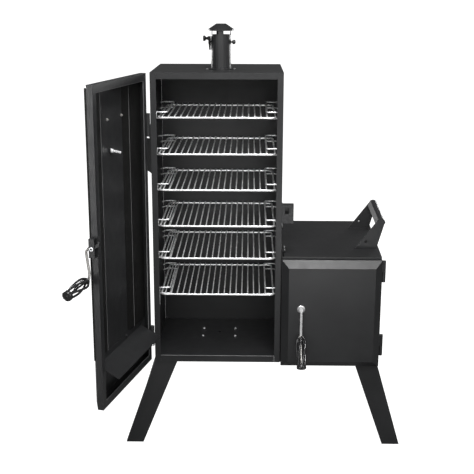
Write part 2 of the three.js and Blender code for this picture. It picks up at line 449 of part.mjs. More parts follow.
// ---- legs: tapered folded channels with a head plate and a foot pad ----
const leg = ([top, foot], front) => {
  const { sheet, depth, y } = LEG, z1 = LEG_H - GAP, k = front ? 1 : -1;
  const face = front ? y : D - y, back = face + k * depth;
  const channel = (e, ya, yb, z0, zTop) => hexa(
    [[foot[0] + e, ya, z0], [foot[1] - e, ya, z0], [foot[1] - e, yb, z0], [foot[0] + e, yb, z0]],
    [[top[0] + e, ya, zTop], [top[1] - e, ya, zTop], [top[1] - e, yb, zTop], [top[0] + e, yb, zTop]]);
  const outer = channel(0, face, back, 0, z1);
  const [near, far] = [Math.min(face, back), Math.max(face, back)];
  const plate = (z0, zTop) => box(-W, 3 * W, near, far, z0, zTop).intersect(outer);
  const hollow = channel(sheet, face + k * sheet, back + k, -1, z1 + 1);
  return join(cut(outer, hollow), plate(0, sheet), plate(z1 - sheet, z1));
};
const shifted = ([top, foot], topBy, footBy) => [top.map((x) => x + topBy), foot.map((x) => x + footBy)];
add("leg_front_left", leg(LEG.left, true), "paint");
add("leg_front_right", leg(LEG.right, true), "paint");
add("leg_rear_left", leg(shifted(LEG.left, 4, LEG.rearIn[0]), false), "paint");
add("leg_rear_right", leg(shifted(LEG.right, -4, -LEG.rearIn[1]), false), "paint");

// ---- grease tray on two rails that are bolted through the cabinet's floor ----
const rail = (x, inward) => {
  const h = TRAY.railHalf, top = FLOOR - T - GAP;
  const webX = inward ? x - h : x + h - T, lipX = inward ? x - h : x - 3;
  return join(
    box(x - h, x + h, 60, 330, top - T, top),
    box(webX, webX + T, 60, 330, TRAY.railZ, top),
    box(lipX, lipX + h + 3, 60, 330, TRAY.railZ, TRAY.railZ + T),
    ...BOLTS.y.flatMap((y) => [rod([x, y, FLOOR - 4], [x, y, FLOOR + 2], BOLTS.r, 8),
      turned([x, y, FLOOR + GAP], [x, y, FLOOR + 10], [[0, BOLTS.head], [1.5, BOLTS.head], [4, 2.2]], 10)]));
};
add("tray_rail_left", rail(BOLTS.x[0], true), "steel");
add("tray_rail_right", rail(BOLTS.x[1], false), "steel");
const flangeZ = TRAY.railZ + T + GAP, trayX = [TRAY.x0 + TRAY.flange, TRAY.x1 - TRAY.flange];
add("grease_tray", cut(
  join(box(...trayX, TRAY.y0, TRAY.y1, TRAY.z0, TRAY.z1),
    box(TRAY.x0, TRAY.x1, TRAY.y0, TRAY.y1, flangeZ, flangeZ + T)),
  box(trayX[0] + T, trayX[1] - T, TRAY.y0 + T, TRAY.y1 - T, TRAY.z0 + T, TRAY.z1 + 1)), "steel");

export default smoker;
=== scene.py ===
"""Looks for the vertical smoker: camera, studio, procedural materials and the detailed wire pieces."""
import json
import math

import bmesh
import bpy
from mathutils import Matrix, Vector


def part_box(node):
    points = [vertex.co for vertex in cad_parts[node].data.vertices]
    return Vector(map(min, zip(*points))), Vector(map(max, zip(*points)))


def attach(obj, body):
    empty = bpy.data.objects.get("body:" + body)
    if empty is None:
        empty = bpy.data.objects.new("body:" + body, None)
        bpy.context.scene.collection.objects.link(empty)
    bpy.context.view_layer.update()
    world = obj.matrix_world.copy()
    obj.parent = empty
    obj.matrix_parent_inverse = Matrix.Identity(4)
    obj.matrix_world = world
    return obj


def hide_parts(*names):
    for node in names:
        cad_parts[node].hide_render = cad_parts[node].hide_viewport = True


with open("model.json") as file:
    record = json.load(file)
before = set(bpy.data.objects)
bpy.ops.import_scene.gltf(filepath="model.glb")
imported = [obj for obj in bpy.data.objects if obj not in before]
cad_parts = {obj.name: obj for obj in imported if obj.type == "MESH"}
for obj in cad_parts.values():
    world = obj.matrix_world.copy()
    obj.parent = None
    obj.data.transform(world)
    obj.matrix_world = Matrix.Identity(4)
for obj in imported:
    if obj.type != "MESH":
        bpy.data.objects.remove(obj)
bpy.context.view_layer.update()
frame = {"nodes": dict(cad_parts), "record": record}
MM = 0.001
SMOOTH_BELOW = 32  # degrees: a fold flatter than this is shaded smooth


# ---------------------------------------------------------------- placing from the frame
def corners(node):
    low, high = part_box(node)
    return Vector(low), Vector(high)


def joint(name):
    return next(j for j in frame["record"]["behaviour"]["joints"] if j["name"] == name)


cab_low = corners("cabinet_left")[0]
ORIGIN = Vector((cab_low.x, cab_low.y, 0.0))  # the cabinet's front left edge, on the floor


def at(x, y, z):
    """Millimetres from the cabinet's front left edge and the floor."""
    return ORIGIN + Vector((x, y, z)) * MM


door_joint = joint("main_door_hinge")
DOOR_PIN = Vector(door_joint["pos_m"])
DOOR_OPEN = math.radians(-door_joint["range_deg"][0])
PIN_FROM_EDGE = (DOOR_PIN - Vector((ORIGIN.x, ORIGIN.y, DOOR_PIN.z))) / MM


def on_door(x, y, z):
    """The same millimetres, for a place on the main door as it would be when shut."""
    offset = Vector((x, y, 0)) - Vector((PIN_FROM_EDGE.x, PIN_FROM_EDGE.y, 0))
    turned = Matrix.Rotation(-DOOR_OPEN, 3, "Z") @ offset
    return Vector((DOOR_PIN.x, DOOR_PIN.y, 0)) + turned * MM + Vector((0, 0, z * MM))


# ---------------------------------------------------------------- materials
def material(name):
    mat = bpy.data.materials.new(name)
    mat.use_nodes = True
    nodes, links = mat.node_tree.nodes, mat.node_tree.links
    return mat, nodes, links, nodes["Principled BSDF"]


def noise(nodes, links, scale, detail=4.0, rough=0.5):
    coords = nodes.new("ShaderNodeTexCoord")
    tex = nodes.new("ShaderNodeTexNoise")
    tex.inputs["Scale"].default_value = scale
    tex.inputs["Detail"].default_value = detail
    tex.inputs["Roughness"].default_value = rough
    links.new(coords.outputs["Object"], tex.inputs["Vector"])
    return tex


def ramp(nodes, links, source, stops):
    node = nodes.new("ShaderNodeValToRGB")
    node.color_ramp.elements[0].position, node.color_ramp.elements[1].position = stops[0][0], stops[-1][0]
    node.color_ramp.elements[0].color = (*stops[0][1], 1)
    node.color_ramp.elements[1].color = (*stops[-1][1], 1)
    links.new(source, node.inputs["Fac"])
    return node.outputs["Color"]


def grey(v):
    return (v, v, v)


def vary(nodes, links, tex, low, high, socket):
    """Lets a noise texture move a socket between two stops of (position, colour)."""
    links.new(ramp(nodes, links, tex.outputs["Fac"], [low, high]), socket)


def bump(nodes, links, bsdf, height, strength, distance):
    node = nodes.new("ShaderNodeBump")
    node.inputs["Strength"].default_value = strength
    node.inputs["Distance"].default_value = distance
    links.new(height, node.inputs["Height"])
    links.new(node.outputs["Normal"], bsdf.inputs["Normal"])


def powder_coat(name, dark, light, rough_low, rough_high, specular=0.5, grain=0.25):
    """Satin black paint: fine orange-peel grain, faint cloudy tone and slightly uneven sheen."""
    mat, nodes, links, bsdf = material(name)
    cloud = noise(nodes, links, 9.0, 5.0, 0.6)
    vary(nodes, links, cloud, (0.3, dark), (0.7, light), bsdf.inputs["Base Color"])
    sheen = noise(nodes, links, 30.0, 6.0, 0.65)
    vary(nodes, links, sheen, (0.3, grey(rough_low)), (0.7, grey(rough_high)), bsdf.inputs["Roughness"])
    peel = noise(nodes, links, 900.0, 2.0, 0.5)
    bump(nodes, links, bsdf, peel.outputs["Fac"], grain, 0.0004)
    bsdf.inputs["Specular IOR Level"].default_value = specular
    return mat


def plated(name, colour, rough_low, rough_high, wear=140.0, metallic=1.0):
    """Bright plating with small changes in polish along the wire."""
    mat, nodes, links, bsdf = material(name)
    bsdf.inputs["Metallic"].default_value = metallic
    tone = noise(nodes, links, wear, 3.0, 0.5)
    dark = tuple(c * 0.86 for c in colour)
    vary(nodes, links, tone, (0.3, dark), (0.7, colour), bsdf.inputs["Base Color"])
    polish = noise(nodes, links, wear * 2, 4.0, 0.6)
    vary(nodes, links, polish, (0.3, grey(rough_low)), (0.7, grey(rough_high)), bsdf.inputs["Roughness"])
    return mat


def cast_iron():
    """Rough dark casting with a coarse skin."""
    mat, nodes, links, bsdf = material("rough_iron")
    tone = noise(nodes, links, 60.0, 6.0, 0.7)
    vary(nodes, links, tone, (0.3, grey(0.02)), (0.75, (0.07, 0.066, 0.062)), bsdf.inputs["Base Color"])
    bsdf.inputs["Roughness"].default_value = 0.75
    bsdf.inputs["Metallic"].default_value = 0.4
    bump(nodes, links, bsdf, noise(nodes, links, 400.0, 5.0, 0.7).outputs["Fac"], 0.6, 0.0008)
    return mat


def lens_glass():
    """Clear glass with faint smears."""
    mat, nodes, links, bsdf = material("dial_glass")
    bsdf.inputs["Transmission Weight"].default_value = 1.0
    bsdf.inputs["IOR"].default_value = 1.45
    smear = noise(nodes, links, 45.0, 3.0, 0.5)
    vary(nodes, links, smear, (0.4, grey(0.0)), (0.8, grey(0.05)), bsdf.inputs["Roughness"])
    return mat


def enamel(name, colour, rough):
    """Even printed or baked colour."""
    mat, nodes, links, bsdf = material(name)
    tone = noise(nodes, links, 120.0, 2.0, 0.5)
    dark = tuple(c * 0.93 for c in colour)
    vary(nodes, links, tone, (0.3, dark), (0.7, colour), bsdf.inputs["Base Color"])
    bsdf.inputs["Roughness"].default_value = rough
    return mat


PAINT = powder_coat("black_powder_coat", (0.0105, 0.0107, 0.0113), (0.0145, 0.0148, 0.0155), 0.37, 0.45, 0.4)
# A near-black coat: the soot black of the chimney's damper and the black rope seal, and painted shade where
# it covers the main door's inner strips and the dome in the lid handle's hole.
SOOT_BLACK_AND_SHADE = powder_coat("soot_black_and_painted_shade", (0.003, 0.003, 0.003), (0.0065, 0.0063, 0.006), 0.5, 0.6, 0.2)
# A lighter coat that paints highlights: the light lines along the main door's lip, on its inner folds and
# along the front of the cabinet's floor.
EDGE_HIGHLIGHT = powder_coat("painted_highlight_edge", (0.06, 0.06, 0.062), (0.13, 0.13, 0.132), 0.35, 0.5, 0.5, 0.1)
CHROME = plated("bright_wire", (0.90, 0.905, 0.91), 0.18, 0.34, 140.0, 0.55)
POLISHED = plated("polished_steel", (0.84, 0.845, 0.85), 0.10, 0.2)
BLACK_WIRE = plated("black_wire", (0.02, 0.02, 0.021), 0.12, 0.22, 140.0, 0.1)
ZINC = plated("zinc_plate", (0.74, 0.75, 0.76), 0.28, 0.42, 60.0, 0.7)
NICKEL = plated("worn_nickel", (0.40, 0.39, 0.375), 0.34, 0.48, 90.0, 0.75)
SATIN = plated("satin_rod", (0.80, 0.80, 0.805), 0.24, 0.32, 24.0, 0.65)
DULL = plated("dull_steel", (0.16, 0.16, 0.165), 0.42, 0.6, 30.0, 0.6)
IRON = cast_iron()
GLASS = lens_glass()
DIAL = enamel("dial_enamel", (0.82, 0.82, 0.79), 0.5)
NEEDLE = enamel("needle_enamel", (0.55, 0.04, 0.03), 0.4)
MARKS = enamel("dial_marks", (0.02, 0.02, 0.02), 0.5)

LOOKS = {  # by the record's material slot
    "black_paint": PAINT, "chrome_wire": CHROME, "chrome_parts": POLISHED, "grip_wire": BLACK_WIRE,
    "dial_face": DIAL, "needle_red": NEEDLE, "clear_glass": GLASS, "bare_steel": ZINC, "iron_grate": IRON,
}

OTHER_LOOKS = {  # pieces that look different from the rest of their slot
    "thermometer_nut": PAINT, "thermometer_case": CHROME, "door_badge": NICKEL,
    "firebox_handle_rod": SATIN, "damper_lever": SOOT_BLACK_AND_SHADE,
    "ash_pan": DULL, "grease_tray": DULL,
}


# ---------------------------------------------------------------- the CAD pieces: finish and rounded edges
EDGE_ROUND, EDGE_ABOVE = 0.7, 40  # mm, and degrees


def dress_cad():
    """Gives each CAD piece its material, smooth shading and slightly rounded edges."""
    for part in frame["record"]["subparts"]:
        obj = frame["nodes"][part["node"]]
        obj.data.materials.clear()
        obj.data.materials.append(LOOKS[part["material_slot"]])
        obj.data.polygons.foreach_set("use_smooth", [True] * len(obj.data.polygons))
        obj.data.set_sharp_from_angle(angle=math.radians(SMOOTH_BELOW))
        if part["node"] in OTHER_LOOKS:
            obj.data.materials[0] = OTHER_LOOKS[part["node"]]
        if part["material_slot"] in ("clear_glass", "dial_face"):
            continue
        edge = obj.modifiers.new("soft_edges", "BEVEL")
        edge.width = EDGE_ROUND * MM
        edge.segments = 2
        edge.limit_method = "ANGLE"
        edge.angle_limit = math.radians(EDGE_ABOVE)
        edge.use_clamp_overlap = True
        edge.harden_normals = True


# ---------------------------------------------------------------- making pieces
def finish_piece(obj, body, look, replaces=()):
    """Material, body and the CAD nodes that the piece stands for."""
    obj.data.materials.clear()
    obj.data.materials.append(look)
    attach(obj, body)
    if replaces:
        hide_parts(*replaces)
    return obj


def rounded(points, radius, steps=5):
    """The same route with an arc at each inner corner."""
    route = [points[0]]
    for before, here, after in zip(points, points[1:], points[2:]):
        a, b = (before - here), (after - here)
        turn = math.pi - a.angle(b)
        if turn < 0.02:
            route.append(here)
            continue
        reach = min(radius * math.tan(turn / 2), a.length * 0.49, b.length * 0.49)
        start, end = here + a.normalized() * reach, here + b.normalized() * reach
        for i in range(steps + 1):
            t = i / steps
            route.append(start.lerp(here, t).lerp(here.lerp(end, t), t))
    route.append(points[-1])
    return route


def wires(name, routes, sides=3):
    """One curve object; each route is (points, radius in metres, closed)."""
    curve = bpy.data.curves.new(name, "CURVE")
    curve.dimensions = "3D"
    curve.bevel_depth = 1.0
    curve.bevel_resolution = sides
    curve.use_fill_caps = True
    for points, radius, closed in routes:
        spline = curve.splines.new("POLY")
        spline.points.add(len(points) - 1)
        for p, co in zip(spline.points, points):
            p.co = (*co, 1.0)
            p.radius = radius
        spline.use_cyclic_u = closed
        spline.use_smooth = True
    obj = bpy.data.objects.new(name, curve)
    bpy.context.scene.collection.objects.link(obj)
    return obj


def mesh_piece(name, verts, faces, smooth_angle=SMOOTH_BELOW):
    """A closed mesh object with its faces turned outwards."""
    mesh = bpy.data.meshes.new(name)
    mesh.from_pydata([tuple(v) for v in verts], [], faces)
    mesh.validate()
    bm = bmesh.new()
    bm.from_mesh(mesh)
    bmesh.ops.remove_doubles(bm, verts=bm.verts, dist=1e-7)
    bmesh.ops.recalc_face_normals(bm, faces=bm.faces)
    bm.to_mesh(mesh)
    bm.free()
    mesh.polygons.foreach_set("use_smooth", [True] * len(mesh.polygons))
    mesh.set_sharp_from_angle(angle=math.radians(smooth_angle))
    obj = bpy.data.objects.new(name, mesh)
    bpy.context.scene.collection.objects.link(obj)
    return obj


def spin_data(start, along, rows, steps=40, first=0):
    """Vertices and faces of a body turned about a line: rows of (distance, radius) in mm."""
    along = along.normalized()
    side = along.orthogonal().normalized()
    other = along.cross(side)
    verts, faces = [], []
    for distance, radius in rows:
        for k in range(steps):
            a = 2 * math.pi * k / steps
            ray = side * math.cos(a) + other * math.sin(a)
            verts.append(start + (along * distance + ray * radius) * MM)
    for r in range(len(rows) - 1):
        for k in range(steps):
            n = (k + 1) % steps
            faces.append([first + r * steps + k, first + r * steps + n,
                          first + (r + 1) * steps + n, first + (r + 1) * steps + k])
    return verts, faces


def prism_faces(n):
    """Faces of a body whose vertices are two outlines of n places, one after the other."""
    sides = [[k, (k + 1) % n, n + (k + 1) % n, n + k] for k in range(n)]
    return [list(range(n)), list(range(n, 2 * n))] + sides


def spun(name, start, along, rows, steps=40):
    """One turned body as a piece."""
    return mesh_piece(name, *spin_data(start, along, rows, steps))


def spun_group(name, items, steps=20):
    """Several turned bodies as one piece: items of (start, along, rows)."""
    verts, faces = [], []
    for start, along, rows in items:
        v, f = spin_data(start, along, rows, steps, len(verts))
        verts += v
        faces += f
    return mesh_piece(name, verts, faces)


# ---------------------------------------------------------------- racks and guides
RACK_COUNT = 6
RACK_WIRE, RACK_BAR = 3.3, 2.2  # radii
RACK_BARS, RACK_PITCH, RACK_MIDDLE = 18, 20.45, 213
RACK_CORNER = 16
BAR_SINK = 0.5  # how far a bar is melted into the frame
BAR_BITE, BAR_DROP, BAR_BEND = 1.4, 0.7, 7  # how far a bar laps its frame, dips there, and starts to dip
GUIDE_WIRE, GUIDE_UP, GUIDE_DOWN = 2.3, 15, 6
GUIDE_LOOP, GUIDE_SLANT, GUIDE_CORNER, GUIDE_TAIL = 12.7, 22, 7, 42


def build_rack(i):
    """A round-cornered wire frame with bars laid over it from front to back."""
    node = f"rack_{i}"
    low, high = corners(node)
    wire = RACK_WIRE * MM
    z = low.z + wire
    x0, x1, y0, y1 = low.x + wire, high.x - wire, low.y + wire, high.y - wire
    ring = [Vector(p) for p in ((x0, y1, z), (x0, y0, z), (x1, y0, z), (x1, y1, z))]
    half = [(ring[3] + ring[0]) / 2]
    routes = [(rounded(half + ring + half, RACK_CORNER * MM, 7), wire, False)]
    bar_z = z + (RACK_WIRE + RACK_BAR - BAR_SINK) * MM
    for k in range(RACK_BARS):
        x = ORIGIN.x + (RACK_MIDDLE + (k - (RACK_BARS - 1) / 2) * RACK_PITCH) * MM
        ends = [(y0 - BAR_BITE * MM, bar_z - BAR_DROP * MM), (y0 + BAR_BEND * MM, bar_z),
                (y1 - BAR_BEND * MM, bar_z), (y1 + BAR_BITE * MM, bar_z)]
        routes.append(([Vector((x, y, h)) for y, h in ends], RACK_BAR * MM, False))
    finish_piece(wires(f"wire_rack_{i}", routes), f"rack_{i}_body", CHROME, [node])


def build_guide(side):
    """Bent wire loops from the wall, one pair for each rack, joined by short uprights."""
    node = f"rack_guide_{side}"
    low, high = corners(node)
    wall, reach, s = (low.x, high.x, 1) if side == "left" else (high.x, low.x, -1)
    r = GUIDE_WIRE * MM
    loop = wall + s * GUIDE_LOOP * MM
    inner = reach - s * r
    y0, y1 = low.y + r, high.y - r
    routes = []
    for i in range(1, RACK_COUNT + 1):
        rack_z = corners(f"rack_{i}")[0].z + RACK_WIRE * MM
        up, down = rack_z + GUIDE_UP * MM, rack_z - GUIDE_DOWN * MM
        for z in (up, down):
            plan = [(wall, y0 + GUIDE_SLANT * MM), (loop, y0), (inner, y0),
                    (inner, y1), (loop, y1), (wall, y1 - GUIDE_SLANT * MM)]
            routes.append((rounded([Vector((x, y, z)) for x, y in plan], GUIDE_CORNER * MM, 5), r, False))
        tail = GUIDE_TAIL * MM if i == RACK_COUNT else 0
        routes.append(([Vector((loop, y0, up)), Vector((loop, y0, down - tail))], r, False))
    finish_piece(wires(f"wire_guide_{side}", routes), "base", CHROME, [node])


# ---------------------------------------------------------------- wire grips
# the cage's radius along its length, and how much it is widened
CAGE = [(0.0, 6.5), (0.06, 9.5), (0.14, 12.6), (0.26, 14.2),
        (0.42, 14.4), (0.62, 13.4), (0.82, 11.8), (1.0, 10.4)]
CAGE_SWELL = 1.14
CAGE_STRANDS, CAGE_WIRE, CAGE_TWIST, CAGE_TURN = 5, 3.5, math.pi * 0.42, 0.4
CAGE_STEPS, CAGE_FROM, CAGE_SHORT = 28, 4, 15  # where the cage starts, and how much shorter it is
CORE_RADIUS, CORE_SHORT = 3.0, 12
DOOR_GRIP = (457, -30.2, 750.6), (561, -52, 731)  # on the door when shut
FIREBOX_GRIP = (510, -55, 434), (510, -125.9, 341)


def between(table, t):
    """The table's value at t, in a straight line between its rows."""
    for (t0, v0), (t1, v1) in zip(table, table[1:]):
        if t <= t1:
            return v0 + (v1 - v0) * (t - t0) / (t1 - t0)
    return table[-1][1]


def build_grip(name, node, body, start, end, inner_look):
    """A cage of gently spiralling wires between a collar and an end cap."""
    along = end - start
    length = along.length / MM
    axis = along.normalized()
    side = axis.orthogonal().normalized()
    other = axis.cross(side)
    routes = []
    for n in range(CAGE_STRANDS):
        points = []
        for k in range(CAGE_STEPS + 1):
            t = k / CAGE_STEPS
            a = CAGE_TURN + 2 * math.pi * n / CAGE_STRANDS + CAGE_TWIST * t
            ring = (side * math.cos(a) + other * math.sin(a)) * between(CAGE, t) * CAGE_SWELL
            points.append(start + (axis * (CAGE_FROM + (length - CAGE_SHORT) * t) + ring) * MM)
        routes.append((points, CAGE_WIRE * MM, False))
    finish_piece(wires(name, routes, 4), body, BLACK_WIRE, [node])
    cap = spun(name + "_cap", start, axis,
               [(length - 14, 0), (length - 14, 12.5), (length - 12.5, 15.2), (length - 10, 16.3),
                (length - 4, 16.5), (length - 1.6, 15.6), (length - 0.5, 13.8), (length - 1.3, 12),
                (length - 1.4, 4.0), (length - 0.2, 3.4), (length - 0.2, 0)])
    finish_piece(cap, body, BLACK_WIRE)
    collar = spun(name + "_collar", start, axis,
                  [(0, 0), (0, 6), (1.2, 9), (3, 10), (5.5, 10), (7.5, 8.5), (8.5, 6), (9, 0)])
    finish_piece(collar, body, inner_look)
    core_line = [start, start + axis * (length - CORE_SHORT) * MM]
    core = wires(name + "_core", [(core_line, CORE_RADIUS * MM, False)], 5)
    finish_piece(core, body, inner_look)


# ---------------------------------------------------------------- main door handle
LATCH = (449, -13, 849)  # the middle of the handle's hub, with the door shut
HANDLE_ROD, HANDLE_BEND = 4, 9  # radii


def build_door_handle():
    """Bent rod, hub, hook and ring nut at the main door's latch."""
    x, y, z = LATCH
    rod = [on_door(x, y - 2, z), on_door(x, y - 14, z - 1), on_door(x, y - 22.5, z - 11),
           on_door(x, -27, 771), on_door(x + 1, -29, 751.5), on_door(x + 10, -30.6, 750.4)]
    bent = wires("door_handle_bent_rod",
                 [(rounded(rod, HANDLE_BEND * MM, 6), HANDLE_ROD * MM, False)], 6)
    finish_piece(bent, "door_handle", NICKEL, ["door_handle_rod"])
    across = on_door(1, 0, 0) - on_door(0, 0, 0)
    hub = spun("door_handle_hub", on_door(x - 7.4, y, z), across,
               [(0, 3.7), (0, 6.2), (1, 7), (14, 7), (15, 6.2), (15, 3.7), (0, 3.7)])
    finish_piece(hub, "door_handle", PAINT)
    outline = [(y + 2, z - 3), (y + 22, z + 8), (y + 24, z + 11), (y + 24, z + 23), (y + 22, z + 24),
               (y + 19, z + 24), (y + 19, z + 17), (y + 2, z + 6)]
    verts = [on_door(across_x, py, pz) for across_x in (x + 3, x + 8) for py, pz in outline]
    hook = mesh_piece("door_handle_hook", verts, prism_faces(len(outline)))
    finish_piece(hook, "door_handle", PAINT)
    nut = spun("latch_ring_nut", on_door(x + 11.3, y, z), across,
               [(0, 3.6), (0, 5.8), (1, 6.6), (2.6, 6.4), (3.4, 5.6), (3.4, 3.8), (0, 3.6)])
    finish_piece(nut, "main_door", ZINC)


# ---------------------------------------------------------------- fasteners
SCREWS_ALONG, SCREW_OUT, SCREW_UP = (0.5, 0.84), 2.8, 14  # shares of the hinge leaf, then mm
FLOOR_BOLTS_Y = (198, 278)
BOLT_HEAD = [(0, 0), (0, 5), (1.7, 5), (4.4, 2.8), (10.3, 2.8), (10.3, 0)]
BOLT_LENGTH = 10  # above the cabinet's floor
PIN_HEAD = [(0, 0), (0, 7.6), (1, 8.2), (5, 8.2), (6.5, 7), (7, 3), (7, 0)]
LID_HOLE = (738, 84.5, 26)  # the front hole of the lid handle, its height taken from the handle's foot


def dome(radius, height):
    """Rows for a round head."""
    return [(0, 0), (0, radius), (height * 0.35, radius), (height * 0.7, radius * 0.8),
            (height * 0.92, radius * 0.45), (height, 0)]


def build_fasteners():
    """Hinge screws and pin heads, floor bolts, and a near-black dome in the lid handle's front hole that
    paints the shade seen there.
    """
    left, front = Vector((-1, 0, 0)), Vector((0, -1, 0))
    up, down = Vector((0, 0, 1)), Vector((0, 0, -1))
    heads = []
    for node in ("door_hinge_upper_fixed", "door_hinge_lower_fixed"):
        low, high = corners(node)
        for part in SCREWS_ALONG:
            y = low.y + (high.y - low.y) * part
            place = Vector((ORIGIN.x - SCREW_OUT * MM, y, low.z + SCREW_UP * MM))
            heads.append((place, left, dome(3.6, 2.2)))
        pin = Vector((DOOR_PIN.x, DOOR_PIN.y, low.z))
        heads.append((pin, down, PIN_HEAD))
    finish_piece(spun_group("hinge_screws", heads), "base", POLISHED)
    bolts = []
    for node, x in (("tray_rail_left", 160), ("tray_rail_right", 280)):
        floor_z = corners(node)[1].z / MM - BOLT_LENGTH
        bolts += [(at(x, y, floor_z), up, BOLT_HEAD) for y in FLOOR_BOLTS_Y]
    finish_piece(spun_group("floor_bolt_heads", bolts), "base", CHROME)
    x, y, rise = LID_HOLE
    hole = at(x, y, corners("lid_handle")[0].z / MM + rise)
    # painted shade: a near-black dome sits in the lid handle's front hole so that the hole reads dark
    plug = spun("lid_handle_hole_shade", hole, front, dome(4.8, 2.2), 24)
    finish_piece(plug, "lid", SOOT_BLACK_AND_SHADE)


def build_gasket():
    """Black rope seal in the joint between the cabinet and the firebox."""
    rope, inset = 1.7 * MM, 6 * MM
    low, high = corners("firebox_left")
    x = (corners("cabinet_right")[1].x + low.x) / 2
    y0, y1, z0, z1 = low.y + inset, high.y - inset, low.z + 1 * MM, high.z - inset
    ring = [Vector((x, y0, z0)), Vector((x, y0, z1)), Vector((x, y1, z1)), Vector((x, y1, z0))]
    finish_piece(wires("firebox_gasket", [(ring, rope, True)], 4), "base", SOOT_BLACK_AND_SHADE)


PIPE_IN_FROM_FOOT = 14.9  # how far the chimney pipe stands in from the edge of its foot flange


def build_damper_cone():
    """The sprung cone that holds the damper lever against the pipe."""
    pin = Vector(joint("chimney_damper")["pos_m"])
    foot = Vector((corners("chimney_pipe")[0].x + PIPE_IN_FROM_FOOT * MM, pin.y, pin.z))
    cone = spun("damper_spring_cone", foot, Vector((-1, 0, 0)),
                [(0, 3.5), (0, 13), (1.5, 13.5), (5, 9), (8, 7), (9, 3.5), (0, 3.5)])
    finish_piece(cone, "damper", SOOT_BLACK_AND_SHADE)


def strip_along(name, profile, z0, z1):
    """A folded strip on the main door: an outline of (x, y) places carried from z0 to z1."""
    verts = [on_door(x, y, z) for z in (z0, z1) for x, y in profile]
    # painted shade: the strips wear the near-black coat so they show as the shaded bands beside the door's
    # lip
    finish_piece(mesh_piece(name, verts, prism_faces(len(profile))), "main_door", SOOT_BLACK_AND_SHADE)


# the main door when shut: its outline, its lip, and the strips on its inside
DOOR_WIDTH, DOOR_LOW, DOOR_HIGH, DOOR_LIP, LIP_Y = 438, 327, 1324, 24, -3.2
DOOR_INSIDE, STRIP_RISE, STRIP_Z0, STRIP_Z1 = -30.1, 8, 486, 1314
HINGE_FOLD, FREE_FOLD = 108, 340
FLOOR_HEM_X, FLOOR_HEM_Y, FLOOR_HEM_SINK = (20.5, 419.5), 1.2, 0.2
FOLD_LINE, LIP_HEM, FLOOR_HEM = 0.8, 1.25, 1.3  # radii


def build_door_inside():
    """Two folded strips on the main door's inside in a near-black coat that paints shade, and lighter lines
    on their folds that paint the highlight the folds catch.
    """
    inside, top = DOOR_INSIDE, DOOR_INSIDE + STRIP_RISE
    strip_along("door_stiffener_hinge_side",
                [(4, inside), (4, top), (HINGE_FOLD, top), (150, inside)], STRIP_Z0, STRIP_Z1)
    strip_along("door_stiffener_free_side",
                [(326, inside), (FREE_FOLD, top), (432, top), (432, inside)], STRIP_Z0, STRIP_Z1)
    lines = [([on_door(x, top, STRIP_Z0), on_door(x, top, STRIP_Z1)], FOLD_LINE * MM, False)
             for x in (HINGE_FOLD, FREE_FOLD)]
    folds = wires("door_fold_lines", lines, 3)
    finish_piece(folds, "main_door", EDGE_HIGHLIGHT)


def build_hems():
    """Beads in a lighter coat that paints a highlight: around the main door's lip, and along the front of
    the cabinet's floor.
    """
    x0, x1, z0, z1 = DOOR_LIP, DOOR_WIDTH - DOOR_LIP, DOOR_LOW + DOOR_LIP, DOOR_HIGH - DOOR_LIP
    ring = [on_door(x, LIP_Y, z) for x, z in ((x0, z1), (x1, z1), (x1, z0), (x0, z0), (x0, z1))]
    hem = wires("door_lip_hem", [(ring, LIP_HEM * MM, False)], 4)
    finish_piece(hem, "main_door", EDGE_HIGHLIGHT)
    edge_z = corners("cabinet_floor")[1].z / MM - FLOOR_HEM_SINK
    edge = [at(x, FLOOR_HEM_Y, edge_z) for x in FLOOR_HEM_X]
    lip = wires("floor_lip_hem", [(edge, FLOOR_HEM * MM, False)], 4)
    finish_piece(lip, "base", EDGE_HIGHLIGHT)


# ---------------------------------------------------------------- thermometer face
MARK_COUNT, MARK_SWEEP, MARK_REACH, MARK_LIFT = 24, 270, 29.5, 0.25
LONG_MARK, SHORT_MARK = (22.5, 0.7), (26.0, 0.35)  # where it starts from the middle, and half its width
DIAL_BEHIND = 1.2  # how far the dial's face lies behind the needle's pivot


def build_dial():
    """Plain marks around the dial, every fourth one longer."""
    centre = Vector(joint("thermometer_pointer")["pos_m"])
    out = (on_door(0, -1, 0) - on_door(0, 0, 0)).normalized()
    across = (on_door(1, 0, 0) - on_door(0, 0, 0)).normalized()
    up = Vector((0, 0, 1))
    face = centre - out * (DIAL_BEHIND * MM)
    verts, faces = [], []
    for k in range(MARK_COUNT + 1):
        a = math.radians(-MARK_SWEEP / 2 + MARK_SWEEP * k / MARK_COUNT)
        ray, side = across * math.sin(a) + up * math.cos(a), across * math.cos(a) - up * math.sin(a)
        inner, half = LONG_MARK if k % 4 == 0 else SHORT_MARK
        n = len(verts)
        for lift in (0, MARK_LIFT):
            for radius, s in ((inner, -1), (MARK_REACH, -1), (MARK_REACH, 1), (inner, 1)):
                verts.append(face + (ray * radius + side * s * half + out * lift) * MM)
        for quad in ((0, 1, 2, 3), (4, 5, 6, 7), (0, 1, 5, 4), (1, 2, 6, 5), (2, 3, 7, 6), (3, 0, 4, 7)):
            faces.append([n + q for q in quad])
    finish_piece(mesh_piece("dial_marks", verts, faces), "main_door", MARKS)


